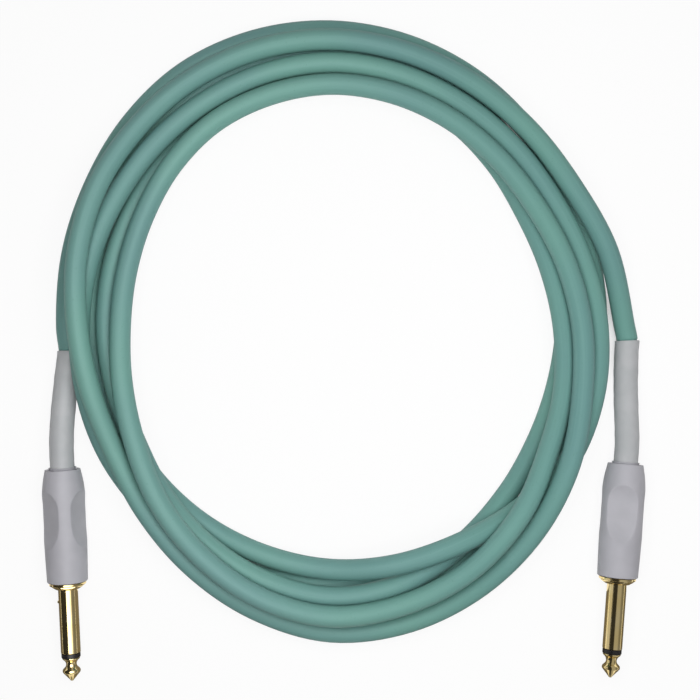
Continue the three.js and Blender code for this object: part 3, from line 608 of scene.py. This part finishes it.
def begun_tree(name, sizes):
    """The nodes of a new tree that works on a turned blank, and its inputs by name."""
    tree = bpy.data.node_groups.new(name, "GeometryNodeTree")
    tree.interface.new_socket("Blank", in_out="INPUT", socket_type="NodeSocketGeometry")
    for size in sizes:
        tree.interface.new_socket(size, in_out="INPUT", socket_type="NodeSocketFloat")
    tree.interface.new_socket("Finish", in_out="INPUT", socket_type="NodeSocketMaterial")
    tree.interface.new_socket("Piece", in_out="OUTPUT", socket_type="NodeSocketGeometry")
    nodes = Nodes(tree)
    inputs = tree.nodes.new("NodeGroupInput").outputs
    return nodes, {socket.name: Value(nodes, socket) for socket in inputs}


def ended_tree(nodes, piece, coat):
    """The nodes' tree, closed by three that make the piece real, coat it and give it out."""
    piece = nodes.add("GeometryNodeRealizeInstances", None, {"Geometry": piece})
    piece = nodes.add("GeometryNodeSetMaterial", None, {"Geometry": piece, "Material": coat})
    out = nodes.tree.nodes.new("NodeGroupOutput")
    nodes.tree.links.new(piece.socket, out.inputs["Piece"])
    return nodes.tree


def milled_tree():
    """A tree that mills flats at even steps round a turned blank. Each is flat across and runs
    in and out along the piece."""
    nodes, given = begun_tree("milled flats", SCALLOPS)
    place = nodes.add("GeometryNodeInputPosition")
    x, along, z = (nodes.add("ShaderNodeSeparateXYZ", None, {0: place}, output=k)
                   for k in range(3))
    radius = (x * x + z * z).maths("SQRT")
    half = math.pi / given["Count"]
    aside = x.maths("ARCTAN2", z).maths("WRAP", half, half * -1)
    run_in = (along - given["From"]) / (given["Deep from"] - given["From"])
    run_out = (given["To"] - along) / (given["To"] - given["Deep to"])
    depth = 1 - run_in.maths("MINIMUM", run_out).maths("MINIMUM", 1)
    floor = given["Floor"] + (given["Fade"] - given["Floor"]) * depth * depth
    cut = radius.maths("SMOOTH_MIN", floor / aside.maths("COSINE"), given["Softness"])
    share = cut / radius
    moved = nodes.add("ShaderNodeCombineXYZ", None, {0: x * share, 1: along, 2: z * share})
    piece = nodes.add("GeometryNodeSetPosition", None,
                      {"Geometry": given["Blank"], "Position": moved})
    return ended_tree(nodes, piece, given["Finish"])


def work(piece, tree, coat, sizes):
    """Does a tree's work on a piece and leaves it a plain mesh."""
    given = {"Finish": coat, **sizes}
    modifier = piece.modifiers.new(tree.name, "NODES")
    modifier.node_group = tree
    for socket in tree.interface.items_tree:
        if socket.in_out == "INPUT" and socket.name in given:
            modifier[socket.identifier] = given[socket.name]
    evaluated = piece.evaluated_get(bpy.context.evaluated_depsgraph_get())
    mesh = bpy.data.meshes.new_from_object(evaluated)
    piece.modifiers.remove(modifier)
    piece.data = mesh


milled_flats = milled_tree()


def coat_paint(nodes):
    place = nodes.add("ShaderNodeTexCoord", output=3)
    grain = nodes.noise(place, 5200, 3)
    cloud = nodes.noise(place, 130, 2)
    orange_peel = nodes.noise(place, 1100, 2)
    colour = nodes.mixed(cloud.between(0.3, 0.7), shade(169, 168, 174), shade(175, 174, 180))
    colour = nodes.mixed(grain.between(0.55, 0.85) * 0.3, colour, shade(158, 157, 164))
    height = orange_peel * 0.7 + grain * 0.3
    return {"Base Color": colour, "Roughness": 0.42 + grain * 0.12,
            "Normal": nodes.bump(height, 0.25, 0.00006)}


soft_coat = finish("soft_coat", {"Specular IOR Level": 0.3}, coat_paint)

REAR_R = BARREL_OUTSIDE[0][0]
FRONT_R = BARREL_OUTSIDE[-1][0]
outside = spline([(radius, at, 0) for radius, at in BARREL_OUTSIDE], BARREL_SAMPLES)
blank_profile = rounded([(BARREL_BORE_R, BORE_CHAMFER), (BARREL_BORE_R + BORE_CHAMFER / 2, 0),
                         (REAR_R, 0, REAR_EDGE)])
blank_profile += [point.xy for point in outside[1:-1]]
blank_profile += rounded([(FRONT_R, FRONT_STRAIGHT_FROM), (FRONT_R, BARREL_LENGTH, FRONT_EDGE),
                          (BARREL_MOUTH_R + BORE_CHAMFER, BARREL_LENGTH)])
blank_profile += rounded([(BARREL_MOUTH_R, BARREL_LENGTH - BORE_CHAMFER),
                          (BARREL_MOUTH_R, BARREL_MOUTH_FROM),
                          (BARREL_BORE_R, BARREL_MOUTH_FROM)])

for side in ends:
    barrel = turned(f"{side}_barrel_shell", blank_profile, BARREL_SIDES)
    work(barrel, milled_flats, soft_coat, SCALLOPS)
    barrel.data.transform(plug_place(side))
    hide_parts(f"{side}_barrel")
    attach(barrel, f"{side}_barrel_shell")


# ---- Sleeve contacts
# Turned brass, polished and gold-plated: a flange and a six-sided nose that the barrel screws up
# against, the long sleeve in front, and the barrel's thread behind. A small nib stands on the side.
THREAD_PITCH = 0.75
THREAD_R = 5.3
THREAD_DEPTH = 0.28
THREAD_FROM = 32.5
THREAD_RUN_IN = 0.45
THREAD = {"Pitch": THREAD_PITCH, "Turns": 5.5, "Root radius": THREAD_R - THREAD_DEPTH,
          "Depth": THREAD_DEPTH, "From": THREAD_FROM + THREAD_RUN_IN}
FLANGE_FROM = 37.5
FLANGE_R = 6.0
FLANGE_TO = 38.4
NOSE_R = 5.3
NOSE_FRONT_R = 4.1
NOSE_TAPER_FROM = FLANGE_TO + 0.35
NOSE_TAPER_RINGS = 8
NOSE_TO = 39.6
# The nose's six flats start at the flange and would run on past the nose's front.
NOSE_FLATS = {"Count": 6.0, "Floor": 4.8, "Fade": 6.0, "From": FLANGE_TO,
              "Deep from": FLANGE_TO + 0.02, "Deep to": NOSE_TO + 1, "To": NOSE_TO + 2,
              "Softness": 0.03}
SLEEVE_R = 3.175
SLEEVE_TO = 60.7
SLEEVE_BORE_R = 2.2
SPIGOT_R = 2.9
SPIGOT_FROM = 31.6
SLEEVE_SIDES = 144
NIB_R = 0.55
NIB_AT = 43.9
NIB_SUNK = 0.15
NIB_TURN = {"left": math.radians(33), "right": math.radians(168)}


def thread_tree():
    """A tree that adds a screw thread, one long ridge, round a turned piece."""
    nodes, given = begun_tree("screw thread", THREAD)
    path = nodes.add("GeometryNodeCurveSpiral", None, {
        "Resolution": 72, "Rotations": given["Turns"], "Start Radius": given["Root radius"],
        "End Radius": given["Root radius"], "Height": given["Pitch"] * given["Turns"]})
    path = nodes.add("GeometryNodeSetCurveNormal", {"mode": "Z_UP"}, {"Curve": path})
    ridge = nodes.add("GeometryNodeCurvePrimitiveCircle", None,
                      {"Resolution": 4, "Radius": given["Depth"]})
    thread = nodes.add("GeometryNodeCurveToMesh", None,
                       {"Curve": path, "Profile Curve": ridge, "Fill Caps": True})
    lift = nodes.add("ShaderNodeCombineXYZ", None, {1: given["From"]})
    thread = nodes.add("GeometryNodeTransform", None, {
        "Geometry": thread, "Translation": lift, "Rotation": (-math.pi / 2, 0, 0)})
    piece = nodes.add("GeometryNodeJoinGeometry", None, {0: thread})
    nodes.tree.links.new(given["Blank"].socket, piece.socket.node.inputs[0])
    return ended_tree(nodes, piece, given["Finish"])


def gold_paint(nodes):
    place = nodes.add("ShaderNodeTexCoord", output=3)
    drawn = nodes.noise(nodes.stretched(place, (1, 0.04, 1)), 2600, 3)
    cloud = nodes.noise(place, 190, 2)
    smears = nodes.noise(place, 620, 3)
    colour = nodes.mixed(cloud.between(0.35, 0.7), (0.95, 0.742, 0.34, 1), (0.98, 0.793, 0.42, 1))
    colour = nodes.mixed(smears.between(0.6, 0.8) * 0.25, colour, (0.82, 0.618, 0.27, 1))
    return {"Base Color": colour, "Roughness": 0.1 + smears.between(0.45, 0.8) * 0.1,
            "Normal": nodes.bump(drawn, 0.06, 0.00002)}


gold = finish("gold_plate", {"Metallic": 1.0}, gold_paint)
screw_thread = thread_tree()
nose_taper = [(NOSE_R + (NOSE_FRONT_R - NOSE_R) * k / NOSE_TAPER_RINGS,
               NOSE_TAPER_FROM + (NOSE_TO - NOSE_TAPER_FROM) * k / NOSE_TAPER_RINGS)
              for k in range(NOSE_TAPER_RINGS)]
sleeve_profile = rounded([
    (SLEEVE_BORE_R, SPIGOT_FROM), (SPIGOT_R, SPIGOT_FROM, 0.12), (SPIGOT_R, THREAD_FROM, 0.1),
    (THREAD_R - THREAD_DEPTH, THREAD_FROM, 0.15), (THREAD_R - THREAD_DEPTH, FLANGE_FROM, 0.08),
    (FLANGE_R, FLANGE_FROM, 0.12), (FLANGE_R, FLANGE_TO, 0.3), (NOSE_R, FLANGE_TO, 0.06),
    *nose_taper, (NOSE_FRONT_R, NOSE_TO, 0.1), (SLEEVE_R, NOSE_TO, 0.1),
    (SLEEVE_R, SLEEVE_TO, 0.15), (SLEEVE_BORE_R, SLEEVE_TO)])

for side in ends:
    sleeve = turned(f"{side}_sleeve_contact", sleeve_profile, SLEEVE_SIDES)
    work(sleeve, milled_flats, gold, NOSE_FLATS)
    work(sleeve, screw_thread, gold, THREAD)
    nib = bmesh.new()
    nib.from_mesh(sleeve.data)
    nib_place = (Matrix.Rotation(NIB_TURN[side], 4, "Y")
                 @ Matrix.Translation((0, NIB_AT, SLEEVE_R - NIB_SUNK)))
    bmesh.ops.create_uvsphere(nib, u_segments=24, v_segments=16, radius=NIB_R,
                              matrix=nib_place)
    nib.to_mesh(sleeve.data)
    nib.free()
    sleeve.data.shade_smooth()
    sleeve.data.transform(plug_place(side))
    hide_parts(f"{side}_sleeve")
    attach(sleeve, "plugs_and_cable")


# ---- Insulating rings
# Black moulded plastic between sleeve and tip, a millimetre and a half of it showing. Its thinner
# back end sits in the sleeve's bore, and the tip's rod runs through it.
RING_R = 3.08
RING_TO = 62.2
RING_GAP = 0.15
RING_BACK_LENGTH = 2
ROD_R = 1.2
TIP_SIDES = 96


def ring_paint(nodes):
    place = nodes.add("ShaderNodeTexCoord", output=3)
    grain = nodes.noise(place, 2400, 3)
    colour = nodes.mixed(grain.between(0.4, 0.7), shade(24, 22, 22), shade(38, 35, 34))
    return {"Base Color": colour, "Roughness": 0.3 + grain * 0.2,
            "Normal": nodes.bump(grain, 0.2, 0.00003)}


black_plastic = finish("black_plastic", {"Specular IOR Level": 0.5}, ring_paint)
back_end_r = SLEEVE_BORE_R - RING_GAP
ring_profile = rounded([
    (ROD_R + RING_GAP, SLEEVE_TO - RING_BACK_LENGTH), (back_end_r, SLEEVE_TO - RING_BACK_LENGTH),
    (back_end_r, SLEEVE_TO + RING_GAP), (RING_R, SLEEVE_TO + RING_GAP, 0.08),
    (RING_R, RING_TO, 0.12), (ROD_R + RING_GAP, RING_TO)])
for side in ends:
    ring = turned(f"{side}_insulating_ring", ring_profile, TIP_SIDES)
    ring.data.materials.append(black_plastic)
    ring.data.transform(plug_place(side))
    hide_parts(f"{side}_tip_ring")
    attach(ring, "plugs_and_cable")


# ---- Tip contacts
# Turned brass, gold-plated: a shoulder, a waist that the socket's spring drops into, and a cone.
# The rod behind it runs back through the sleeve and is riveted over the solder tag.
POINT_AT = 70.1
SHOULDER_R = 2.9
WAIST_R = 1.7
HEAD_R = 2.9
RIVET_R = 1.8
RIVET_FROM = 29.7
RIVET_TO = 30.3
TIP_SAMPLES = 5
# The outline from the shoulder to the cone: its radius, and how far it is behind the point.
tip_outside = spline([(radius, POINT_AT - back, 0) for radius, back in (
    (SHOULDER_R, 7.6), (2.74, 7.28), (2.38, 6.96), (2.06, 6.6), (1.83, 6.15), (WAIST_R, 5.6),
    (1.78, 5.1), (2.04, 4.62), (2.44, 4.22), (2.78, 3.84), (HEAD_R, 3.42), (2.84, 3.0),
    (2.6, 2.65))], TIP_SAMPLES)
tip_profile = [Vector(point) for point in (
    (0, RIVET_FROM), (RIVET_R * 0.7, RIVET_FROM), (RIVET_R * 0.9, RIVET_FROM + 0.1),
    (RIVET_R, RIVET_FROM + 0.3), (RIVET_R, RIVET_TO), (ROD_R, RIVET_TO),
    (ROD_R, RING_TO + RING_GAP), (SHOULDER_R - 0.04, RING_TO + RING_GAP))]
tip_profile += [point.xy for point in tip_outside]
tip_profile += [Vector(point) for point in (
    (0.6, POINT_AT - 0.36), (0.52, POINT_AT - 0.2), (0.34, POINT_AT - 0.06), (0, POINT_AT))]
for side in ends:
    tip = turned(f"{side}_tip", tip_profile, TIP_SIDES)
    tip.data.materials.append(gold)
    tip.data.transform(plug_place(side))
    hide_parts(f"{side}_tip_contact")
    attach(tip, "plugs_and_cable")


# ---- Pieces inside the barrel
# Stamped brass terminals, solder, wires and insulators, as the plug's maker fits them: the tag
# carries the core's bare end, and the claw grips the jacket and takes the twisted shield. They
# keep their own CAD shapes and only get their finishes here.
def inner_paint(first, second, scale, rough):
    def paint(nodes):
        place = nodes.add("ShaderNodeTexCoord", output=3)
        grain = nodes.noise(place, scale, 3)
        return {"Base Color": nodes.mixed(grain.between(0.35, 0.7), first, second),
                "Roughness": rough + grain * 0.15, "Normal": nodes.bump(grain, 0.3, 0.00004)}
    return paint


# Each finish: the pieces that have it, how metallic it is, its two colours, the fineness of its
# grain and how rough it is.
INNER_FINISHES = {
    "nylon": (["rod_insulator"], 0, shade(226, 222, 208), shade(236, 233, 222), 1800, 0.4),
    "fibre": (["fibre_washer"], 0, shade(118, 62, 42), shade(146, 82, 54), 3200, 0.6),
    "liner_plastic": (["liner"], 0, shade(34, 34, 36), shade(48, 48, 51), 2600, 0.4),
    "core_insulation": (["core"], 0, shade(232, 229, 220), shade(242, 240, 233), 1500, 0.4),
    "brass_sheet": (["ground_claw", "tip_tag"], 1, (0.78, 0.58, 0.28, 1), (0.86, 0.66, 0.34, 1),
                    900, 0.24),
    "copper": (["conductor", "shield_pigtail"], 1, (0.82, 0.42, 0.25, 1), (0.9, 0.5, 0.32, 1),
               2400, 0.25),
    "solder": (["tip_solder", "ground_solder"], 1, (0.62, 0.62, 0.63, 1), (0.74, 0.74, 0.75, 1),
               1400, 0.2),
}
for name, (inner_pieces, metal, first, second, scale, rough) in INNER_FINISHES.items():
    inner_finish = finish(name, {"Metallic": metal}, inner_paint(first, second, scale, rough))
    for side in ends:
        for inner_piece in inner_pieces:
            node = frame["nodes"][f"{side}_{inner_piece}"]
            node.data.materials.clear()
            node.data.materials.append(inner_finish)


# ---- Studio
# A white table top under one soft light over the coil, in a dim room. Two more softboxes and
# two dark cards, which only shiny faces mirror, give the gold its bright and dark bands.
WHITE = (1, 1, 1, 1)
TABLE_SIZE = (6, 6)
TABLE_PLACE = (CAMERA_AT.x, CAMERA_AT.y, -0.0002)
SHADOW_REACH = 6 * MM
TABLE_GLOW = 0.9
MIRRORED_TABLE_GLOW = 0.8
CARD_SIZE = (0.16, 0.065)
CARD_PLACES = {"left": (-0.0935, -0.0605, -0.0001), "right": (0.088, -0.0605, -0.0001)}
ROOM_LIGHT = 0.25
WEST_WALL = 0.03
MIDDLE_WALL = 0.36
EAST_WALL = 0.19


def flat_sheet(name, size, place, paper):
    """A flat sheet of paper in the studio, its size and place in metres."""
    mesh = bmesh.new()
    bmesh.ops.create_grid(mesh, x_segments=1, y_segments=1, size=0.5)
    sheet = finished(name, mesh)
    sheet.scale = (*size, 1)
    sheet.location = place
    sheet.data.materials.append(paper)
    return sheet


def stage_light(name, place, size, power, spread=180, glossy_only=False, facing=(0, 0, -1)):
    """A softbox: its place and size in metres, its power in watts, its spread in degrees."""
    lamp = bpy.data.lights.new(name, "AREA")
    lamp.shape = "RECTANGLE"
    lamp.size, lamp.size_y = size
    lamp.energy = power
    lamp.spread = math.radians(spread)
    light = bpy.data.objects.new(name, lamp)
    light.location = place
    light.rotation_euler = Vector(facing).to_track_quat("-Z", "Y").to_euler()
    light.visible_camera = False
    light.visible_diffuse = not glossy_only
    light.visible_glossy = glossy_only
    bpy.context.collection.objects.link(light)


# The camera sees the table glow white, and the gold mirrors it a little dimmer. Close round the
# pieces the camera's glow fades with ambient occlusion, a painted shadow, and the lit paper's own
# shadow shows through it. To every other ray it is plain white paper.
table_top = bpy.data.materials.new("table_top")
table_top.use_nodes = True
table_top.node_tree.nodes.clear()
table_nodes = Nodes(table_top.node_tree)
seen = table_nodes.add("ShaderNodeLightPath")
# Ambient occlusion within the shadow's reach fades the glow: a painted shadow close round the
# pieces.
clear_of_painted_shadow = table_nodes.add("ShaderNodeAmbientOcclusion", {"samples": 16},
                           {"Distance": SHADOW_REACH}, output=1).between(0.05, 0.45)
glow = ((seen * clear_of_painted_shadow + seen.also("Is Transmission Ray")) * TABLE_GLOW
        + seen.also("Is Glossy Ray") * MIRRORED_TABLE_GLOW)
paper = table_nodes.add("ShaderNodeBsdfDiffuse", None, {"Color": (0.86, 0.86, 0.86, 1)})
glowing = table_nodes.add("ShaderNodeEmission", None, {"Color": WHITE, "Strength": 1.0})
surface = table_nodes.add("ShaderNodeMixShader", None, {0: glow, 1: paper, 2: glowing})
table_out = table_top.node_tree.nodes.new("ShaderNodeOutputMaterial")
table_top.node_tree.links.new(surface.socket, table_out.inputs["Surface"])
table = flat_sheet("table_top", TABLE_SIZE, TABLE_PLACE, table_top)

# A dark card under each plug's contacts, which only the gold mirrors, darkens the gold's edges.
dark_paper = finish("dark_paper", {"Base Color": shade(110, 104, 92)}, lambda nodes: {})
for side, place in CARD_PLACES.items():
    card = flat_sheet(f"{side}_dark_card", CARD_SIZE, place, dark_paper)
    card.visible_camera = False
    card.visible_diffuse = False
    card.visible_shadow = False
    card.visible_transmission = False

# The backdrop is white to the camera. Shiny faces mirror dim walls instead, darkest in the west
# and lightest in the middle, and the room gives every other face a little even light.
world = bpy.data.worlds.new("studio")
bpy.context.scene.world = world
world.use_nodes = True
world.node_tree.nodes.clear()
sky = Nodes(world.node_tree)
ray = sky.add("ShaderNodeLightPath")
direction = sky.add("ShaderNodeTexCoord")
east = sky.add("ShaderNodeSeparateXYZ", None, {0: direction})
walls = (WEST_WALL + east.between(-0.05, 0.1) * (MIDDLE_WALL - WEST_WALL)
         + east.between(0.65, 0.85) * (EAST_WALL - MIDDLE_WALL))
room = sky.add("ShaderNodeBackground", None, {"Color": WHITE, "Strength": ROOM_LIGHT})
mirrored = sky.add("ShaderNodeBackground", None, {"Color": WHITE, "Strength": walls})
backdrop = sky.add("ShaderNodeBackground", None, {"Color": WHITE, "Strength": 1.0})
lit = sky.add("ShaderNodeMixShader", None, {0: ray.also("Is Glossy Ray"), 1: room, 2: mirrored})
shown = sky.add("ShaderNodeMixShader", None, {0: ray, 1: lit, 2: backdrop})
sky_out = world.node_tree.nodes.new("ShaderNodeOutputWorld")
world.node_tree.links.new(shown.socket, sky_out.inputs["Surface"])

stage_light("overhead", (0.022, 0.047, 0.3), (0.24, 0.24), 0.9)
stage_light("band_softbox", (-0.048, 0.03, 0.086), (0.118, 0.3), 0.13, 100, glossy_only=True)
stage_light("side_softbox", (0.052, -0.034, 0.0185), (0.06, 0.037), 0.0035, glossy_only=True,
            facing=(1, 0, 0))

bpy.context.scene.view_settings.view_transform = "Standard"
